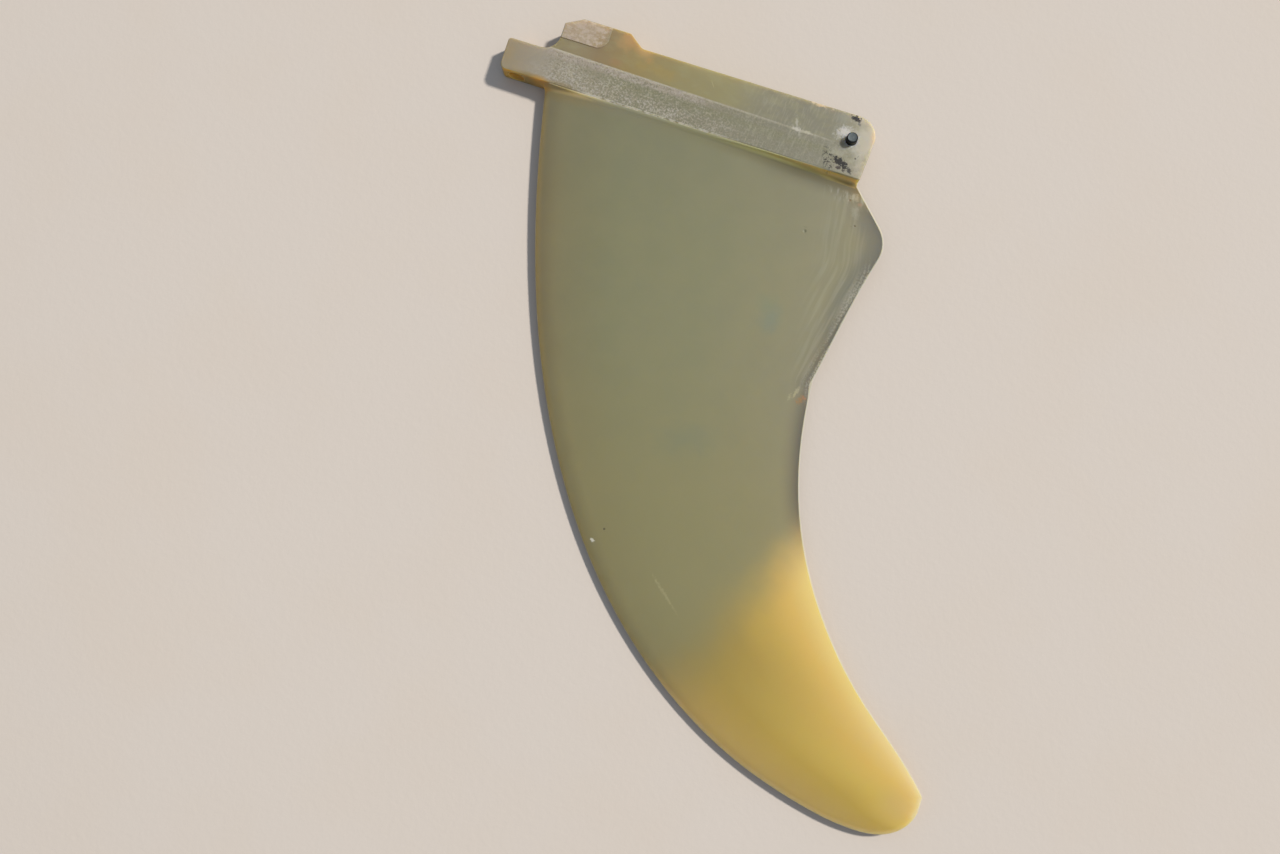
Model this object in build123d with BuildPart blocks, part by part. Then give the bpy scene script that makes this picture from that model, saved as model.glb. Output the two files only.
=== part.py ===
from build123d import *
import math
import os

# Windsurf fin with a slot-box base, lying on its side. Millimetres and degrees.
# +X runs aft along the base, +Y from the blade's tip towards the board, and +Z out of the
# side that faces up. The origin is on the cross pin's axis, at mid thickness.

# Base, placed by the cross pin's axis
plate_thickness = 9.3
pin_to_hull_face = 15.6
pin_to_rear_foot = 8.5
base_length = 162.7
base_height = 27.0
rear_face_rake = 4.4
rear_corner_radius = 9.0
outer_edge_radius = 0.6

# Nose tab, in front of the hump
nose_length = 21.1
nose_height = 14.4
nose_foot_radius = 3.0
nose_top_radius = 1.5
nose_root_radius = 7.0

# Hump, which stands above the top of the base
hump_height = 5.0
hump_length = 28.7
hump_chamfer_length = 7.6
hump_chamfer_height = 4.2
hump_front_radius = 0.8
hump_corner_radius = 2.0
hump_ramp_length = 6.6
hump_ramp_foot_radius = 3.0

# Shallow hollow along each side of the base, between a bearing band at the foot and a bearing
# pad on the hump. It grows shallower aft, until it runs out
hollow_depth = 0.35
hollow_foot_front = 15.6
hollow_foot_rear = 13.4
hollow_end_to_rear_foot = 36.0
pad_length = 20.5
pad_height = 10.8
pad_corner_radius = 5.0

# Screw hole through the nose tab, with a seat for the screw's head
nose_to_screw = 7.6
screw_hole_radius = 2.3
screw_seat_radius = 3.7
screw_seat_depth = 4.5

# Cross pin: a middle that fills its bore, and two slimmer free ends
pin_length = 16.0
pin_middle_radius = 2.55
pin_end_radius = 2.38
pin_middle_recess = 0.15
pin_end_chamfer = 0.45
pin_bore_clearance = 0.02

# Blade: its foil swells into the base by a fillet all round the root
blade_depth = 259.6
root_chord = 141.1
tip_rake = 240.6
tip_end_height = 17.6
tip_end_chord = 3.0
root_thickness_ratio = 0.063
tip_thickness_ratio = 0.080
trailing_edge_thickness = 1.1
root_fillet_radius = 3.0

# Heel: a thin flat lobe that the trailing edge throws out just below the base
heel_thickness = 1.2
heel_foot_drop = 1.8
heel_flank_length = 20.6
heel_flank_angle = 45.0
heel_corner_radius = 14.0
heel_back_angle = 15.6
heel_end_inset = 1.2
heel_embedding = 6.0

# How finely the curved shapes are sampled
blade_stations = 16
fillet_stations = 6
section_points = 11

# Places that follow from the sizes above
half_plate = plate_thickness / 2
hull_y = -pin_to_hull_face
base_top_y = hull_y + base_height
base_rear_x = pin_to_rear_foot
base_front_x = base_rear_x - base_length
rear_top_x = base_rear_x + base_height * math.tan(math.radians(rear_face_rake))
nose_root_x = base_front_x + nose_length
nose_top_y = hull_y + nose_height
hump_top_y = base_top_y + hump_height
hump_rear_x = nose_root_x + hump_length
pad_rear_x = nose_root_x + pad_length
pad_foot_y = hump_top_y - pad_height
hollow_front_x = nose_root_x - nose_root_radius
hollow_end_x = base_rear_x - hollow_end_to_rear_foot
root_y = hull_y - root_fillet_radius
leading_root_x = base_rear_x - root_chord
tip_x = leading_root_x + tip_rake
tip_end_y = hull_y - blade_depth + tip_end_height


def blade_point(aft, down):
    """A point of the planform, as shares of the tip's rake and of the blade's depth."""
    return (leading_root_x + aft * tip_rake, hull_y - down * blade_depth)


# The leading edge sweeps back from the base and turns round the tip
leading_edge_points = [
    (leading_root_x, root_y),
    blade_point(0.032, 0.137),
    blade_point(0.105, 0.351),
    blade_point(0.222, 0.576),
    blade_point(0.377, 0.766),
    blade_point(0.515, 0.875),
    blade_point(0.657, 0.948),
    blade_point(0.811, 0.991),
    blade_point(0.895, 1.001),
    blade_point(0.959, 0.992),
    blade_point(0.993, 0.965),
    (tip_x, tip_end_y),
]

# The trailing edge of the foil runs nearly straight off the base, then sweeps back
heel_end = blade_point(0.615, 0.356)
trailing_edge_points = [
    (base_rear_x, root_y),
    blade_point(0.600, 0.140),
    blade_point(0.609, 0.268),
    heel_end,
    blade_point(0.630, 0.455),
    blade_point(0.672, 0.578),
    blade_point(0.765, 0.718),
    blade_point(0.860, 0.809),
    blade_point(0.947, 0.873),
    (tip_x, tip_end_y + tip_end_chord),
]


def foil_half_thickness(share, chord, ratio):
    """Half the thickness of the symmetric foil at a share of its chord."""
    rounded = 0.2969 * math.sqrt(share) - 0.1260 * share - 0.3516 * share**2
    tapered = 0.2843 * share**3 - 0.1036 * share**4
    return 5 * ratio * chord * (rounded + tapered) + share * trailing_edge_thickness / 2


def foil_outline(chord, ratio, swell):
    """Upper half of a foil section, nose first, grown outwards by the swell."""
    points = []
    for k in range(section_points):
        share = (1 - math.cos(math.pi * k / (section_points - 1))) / 2
        before = max(share - 1e-4, 0)
        after = min(share + 1e-4, 1)
        rise = foil_half_thickness(after, chord, ratio) - foil_half_thickness(before, chord, ratio)
        slope = math.atan2(rise, (after - before) * chord) if k > 0 else math.pi / 2
        half = foil_half_thickness(share, chord, ratio)
        points.append((share * chord - swell * math.sin(slope), half + swell * math.cos(slope)))
    return points


def foil_section(leading, trailing, ratio, swell=0.0):
    """A foil section between two points of the planform, upright on the plate's mid plane."""
    along = trailing - leading
    upper = foil_outline(along.length, ratio, swell)
    lower = [(x, -y) for x, y in reversed(upper[1:])]
    with BuildSketch(Plane(origin=leading, x_dir=along, z_dir=(along.Y, -along.X, 0))) as section:
        with BuildLine():
            Spline(*lower, *upper)
            Line(upper[-1], lower[0])
        make_face()
    return section.sketch


with BuildLine() as leading_edge:
    Spline(*leading_edge_points)
with BuildLine() as trailing_edge:
    Spline(*trailing_edge_points)


def blade_sections():
    """Foil sections that fan round from the root to the tip, closer together at both ends."""
    sections = []
    for station in range(blade_stations + 1):
        share = (1 - math.cos(math.pi * station / blade_stations)) / 2
        ratio = root_thickness_ratio + share * (tip_thickness_ratio - root_thickness_ratio)
        leading = leading_edge.line @ share
        trailing = trailing_edge.line @ share
        sections.append(foil_section(leading, trailing, ratio))
    return sections


def root_sections():
    """The root's foil, swollen by a quarter circle from the blade up to the base."""
    leading, trailing = leading_edge.line @ 0, trailing_edge.line @ 0
    lean_front, lean_rear = leading_edge.line % 0, trailing_edge.line % 0
    sections = []
    for station in range(fillet_stations + 1):
        turn = math.radians(90 * station / fillet_stations)
        rise = root_fillet_radius * math.sin(turn)
        swell = root_fillet_radius * (1 - math.cos(turn))
        front = leading + lean_front * (rise / lean_front.Y)
        rear = trailing + lean_rear * (rise / lean_rear.Y)
        sections.append(foil_section(front, rear, root_thickness_ratio, swell))
    return sections


# The blade's foil, and its swollen root within the thickness of the plate
with BuildPart() as blade:
    loft(blade_sections())
with BuildPart() as root:
    loft(root_sections(), ruled=True)
    split(bisect_by=Plane.XY.offset(half_plate), keep=Keep.BOTTOM)
    split(bisect_by=Plane.XY.offset(-half_plate), keep=Keep.TOP)

# The heel lobe, whose inner part is buried in the foil
heel_foot_y = hull_y - heel_foot_drop
heel_end_x = heel_end[0] - heel_end_inset
with BuildPart() as heel:
    with BuildSketch():
        with BuildLine():
            flank = PolarLine((base_rear_x, heel_foot_y), heel_flank_length, -heel_flank_angle)
            turn = 90 - heel_flank_angle + heel_back_angle
            corner = JernArc(flank @ 1, flank % 1, heel_corner_radius, -turn)
            back_end = (heel_end_x, heel_end[1])
            back = Spline(corner @ 1, back_end, tangents=[corner % 1, (-heel_end_inset, -heel_embedding)])
            Polyline(
                back @ 1,
                (heel_end_x - heel_embedding, heel_end[1]),
                (base_rear_x - heel_embedding, heel_foot_y),
                flank @ 0,
            )
        make_face()
    extrude(amount=heel_thickness / 2, both=True)

# The hollow's floor rises to the side of the base, and its outline reaches past the top of the hump
hollow_length = hollow_end_x - hollow_front_x
hollow_floor = Plane(
    origin=(hollow_front_x, 0, half_plate - hollow_depth),
    x_dir=(hollow_length, 0, hollow_depth),
    z_dir=(-hollow_depth, 0, hollow_length),
)
with BuildPart() as hollows:
    with BuildSketch(hollow_floor) as hollow_outline:
        with BuildLine():
            Polyline(
                (0, hull_y + hollow_foot_front),
                (hollow_length, hull_y + hollow_foot_rear),
                (hollow_length, hump_top_y + hollow_depth),
                (pad_rear_x - hollow_front_x, hump_top_y + hollow_depth),
                (pad_rear_x - hollow_front_x, pad_foot_y),
                (0, pad_foot_y),
                close=True,
            )
        make_face()
        pad_corner = (pad_rear_x - hollow_front_x, pad_foot_y)
        fillet(hollow_outline.vertices().sort_by_distance(pad_corner)[0], pad_corner_radius)
    extrude(amount=2 * hollow_depth)
    mirror(about=Plane.XY)

# Outline of the base: nose tab, hump, long top and raked rear face
nose_root = (nose_root_x, nose_top_y)
hump_front = (nose_root_x, hump_top_y - hump_chamfer_height)
hump_crest = (nose_root_x + hump_chamfer_length, hump_top_y)
hump_rear = (hump_rear_x, hump_top_y)
ramp_foot = (hump_rear_x + hump_ramp_length, base_top_y)
rounded_corners = {
    (base_front_x, hull_y): nose_foot_radius,
    (base_front_x, nose_top_y): nose_top_radius,
    nose_root: nose_root_radius,
    hump_front: hump_front_radius,
    hump_crest: hump_corner_radius,
    hump_rear: hump_corner_radius,
    ramp_foot: hump_ramp_foot_radius,
    (rear_top_x, base_top_y): rear_corner_radius,
}
with BuildPart() as base:
    with BuildSketch() as outline:
        with BuildLine():
            Polyline(*rounded_corners, (base_rear_x, hull_y), close=True)
        make_face()
        for corner_point, radius in rounded_corners.items():
            fillet(outline.vertices().sort_by_distance(corner_point)[0], radius)
    extrude(amount=half_plate, both=True)
    rims = base.edges().filter_by(lambda edge: abs(edge.center().Z) > half_plate - 0.01)
    fillet(rims.filter_by(lambda edge: edge.center().Y > hull_y + 0.01), outer_edge_radius)
    add(hollows.part, mode=Mode.SUBTRACT)

# The whole fin is one piece
with BuildPart() as fin:
    add(base.part)
    add(root.part)
    add(blade.part)
    add(heel.part)
    with Locations(Plane((base_front_x + nose_to_screw, hull_y, 0), z_dir=(0, -1, 0))):
        CounterBoreHole(screw_hole_radius, screw_seat_radius, screw_seat_depth)
    Hole(pin_middle_radius + pin_bore_clearance)

# Cross pin
with BuildPart() as cross_pin:
    Cylinder(pin_end_radius, pin_length)
    chamfer(cross_pin.edges().filter_by(GeomType.CIRCLE), pin_end_chamfer)
    Cylinder(pin_middle_radius, plate_thickness - 2 * pin_middle_recess)

fin.part.label = "fin"
cross_pin.part.label = "cross_pin"
os.makedirs("parts", exist_ok=True)
export_step(fin.part, "parts/fin.step")
export_step(cross_pin.part, "parts/cross_pin.step")
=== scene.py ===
"""Dresses a windsurf fin that lies on its side: polished laminate, dull steel pin, floor, light, camera."""

import logging
import math
from dataclasses import dataclass, field
from enum import Enum

import bpy
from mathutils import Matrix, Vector
from mathutils.kdtree import KDTree


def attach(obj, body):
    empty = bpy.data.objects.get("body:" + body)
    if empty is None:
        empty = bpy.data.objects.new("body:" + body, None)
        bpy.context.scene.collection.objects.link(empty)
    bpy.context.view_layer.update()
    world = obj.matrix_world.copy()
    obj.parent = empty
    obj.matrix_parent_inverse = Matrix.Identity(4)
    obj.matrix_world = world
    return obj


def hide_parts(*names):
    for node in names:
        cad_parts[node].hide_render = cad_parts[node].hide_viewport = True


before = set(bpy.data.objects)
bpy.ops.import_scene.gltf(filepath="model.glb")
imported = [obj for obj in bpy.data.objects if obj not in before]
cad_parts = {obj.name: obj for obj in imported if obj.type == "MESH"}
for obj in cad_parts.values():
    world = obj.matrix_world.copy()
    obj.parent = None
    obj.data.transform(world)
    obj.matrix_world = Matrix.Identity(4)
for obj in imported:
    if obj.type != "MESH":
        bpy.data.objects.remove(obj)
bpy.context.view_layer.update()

LOG = logging.getLogger("windsurf_fin")
MM = 0.001

# Stretches a pattern through the whole part along one axis, so that only its outline across that axis counts.
ENDLESS = 1e6

# How far a wave texture runs, at a scale of 1, before it repeats.
WAVE_SPAN = math.tau / 20

NodeSocket = bpy.types.NodeSocket
Stops = tuple[tuple[float, str], ...]
Pairs = tuple[tuple[float, float], ...]


class Measure(Enum):
    """What the fin's mesh stores: the distance from a blade edge, and which way a vertex or face looks."""

    FRONT = "mm_from_front_edge"
    REAR = "mm_from_rear_edge"
    STEP = "share_facing_tip"
    SIDE = "share_facing_sideways"


class Socket(Enum):
    """Sockets of the glossy surface shader that a finish sets by name."""

    COLOUR = "Base Color"
    ROUGHNESS = "Roughness"
    IOR = "IOR"
    METALLIC = "Metallic"
    NORMAL = "Normal"
    GLOW_SHARE = "Subsurface Weight"
    GLOW_DEPTH = "Subsurface Scale"
    GLOW_BY_CHANNEL = "Subsurface Radius"


def linear(hex_colour: str) -> tuple[float, float, float, float]:
    """Turns an sRGB hex colour into a linear one.

    Args:
        hex_colour: six hex digits after a hash sign.

    Returns:
        Red, green, blue and alpha, from 0 to 1.
    """
    channels = [int(hex_colour[k:k + 2], 16) / 255 for k in (1, 3, 5)]
    # The numbers are those of the sRGB standard's curve.
    shares = [c / 12.92 if c <= 0.04045 else ((c + 0.055) / 1.055) ** 2.4 for c in channels]
    return (*shares, 1.0)


def add_node(tree: bpy.types.NodeTree, kind: str, settings: dict | None = None,
             inputs: dict | None = None) -> bpy.types.Node:
    """Adds a node with its settings, and links or fills its inputs.

    Args:
        tree: the node tree that takes the node.
        kind: the node's type name.
        settings: attributes of the node and their values.
        inputs: input names or numbers, each with a value or with the socket that feeds it.

    Returns:
        The new node.
    """
    node = tree.nodes.new(kind)
    for name, value in (settings or {}).items():
        setattr(node, name, value)
    for name, value in (inputs or {}).items():
        if isinstance(value, NodeSocket):
            tree.links.new(value, node.inputs[name])
        else:
            node.inputs[name].default_value = value
    return node


def deselect_all() -> None:
    """Leaves object mode with nothing selected."""
    if bpy.context.object is not None and bpy.context.object.mode != "OBJECT":
        bpy.ops.object.mode_set(mode="OBJECT")
    bpy.ops.object.select_all(action="DESELECT")


@dataclass(frozen=True)
class Grain:
    """Patches of noise, cut to a mask that starts at the low noise and is full at the high one.

    The size is a patch's size along X, Y and Z, and the turn is about Z in degrees. The detail is how many
    finer layers the noise has, and the rough share how strong each is. The shift moves the pattern, so that
    two of one size differ.
    """

    size_mm: tuple[float, float, float]
    low: float
    high: float
    turn: float = 0.0
    detail: float = 3.0
    rough: float = 0.6
    shift: float = 0.0


@dataclass(frozen=True)
class Zone:
    """A stretch of the fin. Each pair is where it starts and is full, along X, up Y or in from an edge."""

    along: Pairs = ()
    up: Pairs = ()
    edge: Pairs = ()


@dataclass(frozen=True)
class Wash:
    """A colour laid over a stretch of the fin, at a strength from 0 to 1."""

    hex_colour: str
    strength: float
    zone: Zone = Zone()


@dataclass(frozen=True)
class Mark:
    """One stain, pit, chip, scratch or smear, or a patch of painted light, in the part's own millimetres and
    degrees.
    """

    centre: tuple[float, float]
    reach: tuple[float, float]
    hex_colour: str
    strength: float = 1.0
    turn: float = 0.0
    soft: float = 0.9
    frayed: float = 0.0
    fray_mm: float = 1.0
    height_mm: float = 0.0
    both_sides: bool = False


@dataclass
class Paint:
    """Colour, roughness and height of one surface, built up layer by layer in the part's own millimetres."""

    tree: bpy.types.NodeTree
    colour: NodeSocket = field(init=False)
    roughness: NodeSocket = field(init=False)
    height: NodeSocket = field(init=False)
    place: NodeSocket = field(init=False)
    along: NodeSocket = field(init=False)
    up: NodeSocket = field(init=False)
    off_middle: NodeSocket = field(init=False)
    upper_side: NodeSocket = field(init=False)
    frays: dict[float, NodeSocket] = field(init=False, default_factory=dict)
    fray_detail: float = 2.0
    fray_rough: float = 0.65
    surface_layer_mm: float = 0.2

    def start(self, hex_colour: str, roughness: float) -> None:
        """Sets the ground that the layers are laid on.

        Args:
            hex_colour: the ground's colour.
            roughness: the ground's roughness.
        """
        tree = self.tree
        coordinates = add_node(tree, "ShaderNodeTexCoord")
        self.place = add_node(tree, "ShaderNodeVectorMath", {"operation": "SCALE"},
                              {0: coordinates.outputs["Object"], "Scale": 1 / MM}).outputs[0]
        self.along, self.up, through = add_node(tree, "ShaderNodeSeparateXYZ", None, {0: self.place}).outputs
        self.off_middle = add_node(tree, "ShaderNodeMath", {"operation": "ABSOLUTE"}, {0: through}).outputs[0]
        ground = add_node(tree, "ShaderNodeMix", {"data_type": "RGBA"},
                          {"Factor": 0.0, "A": linear(hex_colour), "B": linear(hex_colour)})
        self.colour = ground.outputs["Result"]
        add = {"operation": "ADD"}
        self.roughness = add_node(tree, "ShaderNodeMath", add, {0: roughness, 1: 0.0}).outputs[0]
        self.height = add_node(tree, "ShaderNodeMath", add, {0: 0.0, 1: 0.0}).outputs[0]
        self.upper_side = self.ramp(through, 0.0, self.surface_layer_mm)

    def tint(self, shade: str | NodeSocket, strength: float, *masks: NodeSocket) -> None:
        """Lays a colour where all its masks are bright, or everywhere without one.

        Args:
            shade: a hex colour, or the socket of a varied colour.
            strength: how much of the colour shows where it is full, from 0 to 1.
            masks: where it shows.
        """
        value = linear(shade) if isinstance(shade, str) else shade
        factor = self.both(*masks) if masks and strength == 1.0 else self.both(*masks, strength)
        mix = add_node(self.tree, "ShaderNodeMix", {"data_type": "RGBA"},
                       {"Factor": factor, "A": self.colour, "B": value})
        self.colour = mix.outputs["Result"]

    def wash(self, wash: Wash, *masks: NodeSocket, edge: NodeSocket | None = None) -> None:
        """Lays a wash's colour over its own stretch of the fin, where its other masks are bright too."""
        self.tint(wash.hex_colour, wash.strength, *self.within(wash.zone, edge), *masks)

    def within(self, zone: Zone, edge: NodeSocket | None = None) -> list[NodeSocket]:
        """The masks that together hold a stretch of the fin.

        Args:
            zone: the stretch.
            edge: how far a place lies from a blade edge, for a stretch that keeps to one.

        Returns:
            The masks' sockets.
        """
        reaches = ((self.along, zone.along), (self.up, zone.up), (edge, zone.edge))
        return [self.ramp(value, *pair) for value, pairs in reaches for pair in pairs]

    def dull(self, mask: NodeSocket, roughness: float) -> None:
        """Gives the surface another roughness where the mask is bright."""
        mix = add_node(self.tree, "ShaderNodeMix", None,
                       {"Factor": mask, "A": self.roughness, "B": roughness})
        self.roughness = mix.outputs["Result"]

    def lift(self, mask: NodeSocket, height_mm: float) -> None:
        """Raises the surface where the mask is bright, or sinks it where the height is negative."""
        self.height = self.line(mask, height_mm, self.height)

    def ramp(self, value: NodeSocket, low: float, high: float) -> NodeSocket:
        """A soft mask that rises with a value.

        Args:
            value: what it follows.
            low: where it is 0.
            high: where it is 1. If that is the smaller number, the mask falls as the value rises.

        Returns:
            The mask's socket.
        """
        rising = low < high
        ends = {"Value": value, "From Min": min(low, high), "From Max": max(low, high),
                "To Min": 0.0 if rising else 1.0, "To Max": 1.0 if rising else 0.0}
        node = add_node(self.tree, "ShaderNodeMapRange", {"interpolation_type": "SMOOTHSTEP"}, ends)
        return node.outputs["Result"]

    def share(self, value: NodeSocket, low: float, high: float) -> NodeSocket:
        """An even rise from 0 where the value is low to 1 where it is high."""
        return add_node(self.tree, "ShaderNodeMapRange", None,
                        {"Value": value, "From Min": low, "From Max": high}).outputs["Result"]

    def both(self, *masks: NodeSocket | float) -> NodeSocket | float:
        """The product of several masks or strengths.

        Args:
            masks: at least one.

        Returns:
            The product's socket, or the only strength given.
        """
        product = masks[0]
        for mask in masks[1:]:
            product = add_node(self.tree, "ShaderNodeMath", {"operation": "MULTIPLY"},
                               {0: product, 1: mask}).outputs[0]
        return product

    def line(self, value: NodeSocket, slope: float, start: NodeSocket | float) -> NodeSocket:
        """A value times a slope, plus its start."""
        return add_node(self.tree, "ShaderNodeMath", {"operation": "MULTIPLY_ADD"},
                        {0: value, 1: slope, 2: start}).outputs[0]

    def grain(self, grain: Grain) -> NodeSocket:
        """The mask of a grain.

        Args:
            grain: the size, turn and strength of its patches.

        Returns:
            The mask's socket.
        """
        mapping = add_node(self.tree, "ShaderNodeMapping", {"vector_type": "TEXTURE"},
                           {"Vector": self.place, "Location": (grain.shift,) * 3,
                            "Rotation": (0.0, 0.0, math.radians(grain.turn)), "Scale": grain.size_mm})
        noise = add_node(self.tree, "ShaderNodeTexNoise", None,
                         {"Vector": mapping.outputs[0], "Scale": 1.0, "Detail": grain.detail,
                          "Roughness": grain.rough})
        return self.ramp(noise.outputs["Fac"], grain.low, grain.high)

    def spot(self, mark: Mark) -> NodeSocket:
        """The mask of one mark: a soft or frayed ellipse on the side of the part.

        Args:
            mark: the mark's place, size and edge.

        Returns:
            The mask's socket.
        """
        mapping = add_node(self.tree, "ShaderNodeMapping", {"vector_type": "TEXTURE"},
                           {"Vector": self.place, "Location": (*mark.centre, 0.0),
                            "Rotation": (0.0, 0.0, math.radians(mark.turn)), "Scale": (*mark.reach, ENDLESS)})
        away = add_node(self.tree, "ShaderNodeVectorMath", {"operation": "LENGTH"},
                        {0: mapping.outputs[0]}).outputs["Value"]
        if mark.frayed:
            away = self.line(self.fray(mark.fray_mm), mark.frayed, away)
        mask = self.both(self.ramp(away, 1.0, 1.0 - mark.soft), mark.strength)
        return mask if mark.both_sides else self.both(mask, self.upper_side)

    def fray(self, size_mm: float) -> NodeSocket:
        """Noise round zero that frays the outline of marks; one node serves all marks of a size.

        Args:
            size_mm: the size of the fraying.

        Returns:
            The noise's socket.
        """
        if size_mm not in self.frays:
            noise = add_node(self.tree, "ShaderNodeTexNoise", None,
                             {"Vector": self.place, "Scale": 1 / size_mm, "Detail": self.fray_detail,
                              "Roughness": self.fray_rough})
            self.frays[size_mm] = self.line(noise.outputs["Fac"], 1.0, -0.5)
        return self.frays[size_mm]

    def measure(self, what: Measure) -> NodeSocket:
        """A value that the mesh stores."""
        return add_node(self.tree, "ShaderNodeAttribute", {"attribute_name": what.value}).outputs["Fac"]

    def stamp(self, marks: tuple[Mark, ...]) -> None:
        """Lays each mark's colour, and its height where it has one.

        Args:
            marks: the marks, the lowest first.
        """
        for mark in marks:
            mask = self.spot(mark)
            self.tint(mark.hex_colour, 1.0, mask)
            if mark.height_mm:
                self.lift(mask, mark.height_mm)

    def blend(self, value: NodeSocket, stops: Stops) -> NodeSocket:
        """A colour that changes with a value, through listed stops.

        Args:
            value: runs from 0 to 1.
            stops: the value of each stop, with its hex colour.

        Returns:
            The colour's socket.
        """
        node = add_node(self.tree, "ShaderNodeValToRGB", None, {"Fac": value})
        elements = node.color_ramp.elements
        while len(elements) < len(stops):
            elements.new(0.5)
        for element, (position, shade) in zip(elements, stops):
            element.position = position
            element.color = linear(shade)
        return node.outputs["Color"]

    def finish(self, relief: float, sockets: dict[Socket, object], settings: dict | None = None) -> None:
        """Feeds the layers into the surface's shader.

        Args:
            relief: how strongly the height shows, from 0 to 1.
            sockets: the values that are the same all over the surface.
            settings: the shader's own options.
        """
        bump = add_node(self.tree, "ShaderNodeBump", None,
                        {"Strength": relief, "Distance": MM, "Height": self.height})
        values = {Socket.COLOUR: self.colour, Socket.ROUGHNESS: self.roughness,
                  Socket.NORMAL: bump.outputs[0]}
        values.update(sockets)
        shader = add_node(self.tree, "ShaderNodeBsdfPrincipled", settings,
                          {socket.value: value for socket, value in values.items()})
        add_node(self.tree, "ShaderNodeOutputMaterial", None, {"Surface": shader.outputs[0]})


def start_material(name: str, ground: str, roughness: float) -> tuple[bpy.types.Material, Paint]:
    """Adds an empty material and the paint that its layers are laid with.

    Args:
        name: the material's name.
        ground: the hex colour under all layers.
        roughness: the roughness under all layers.

    Returns:
        The material and its paint.
    """
    material = bpy.data.materials.new(name)
    material.use_nodes = True
    material.node_tree.nodes.clear()
    paint = Paint(material.node_tree)
    paint.start(ground, roughness)
    return material, paint


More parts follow.
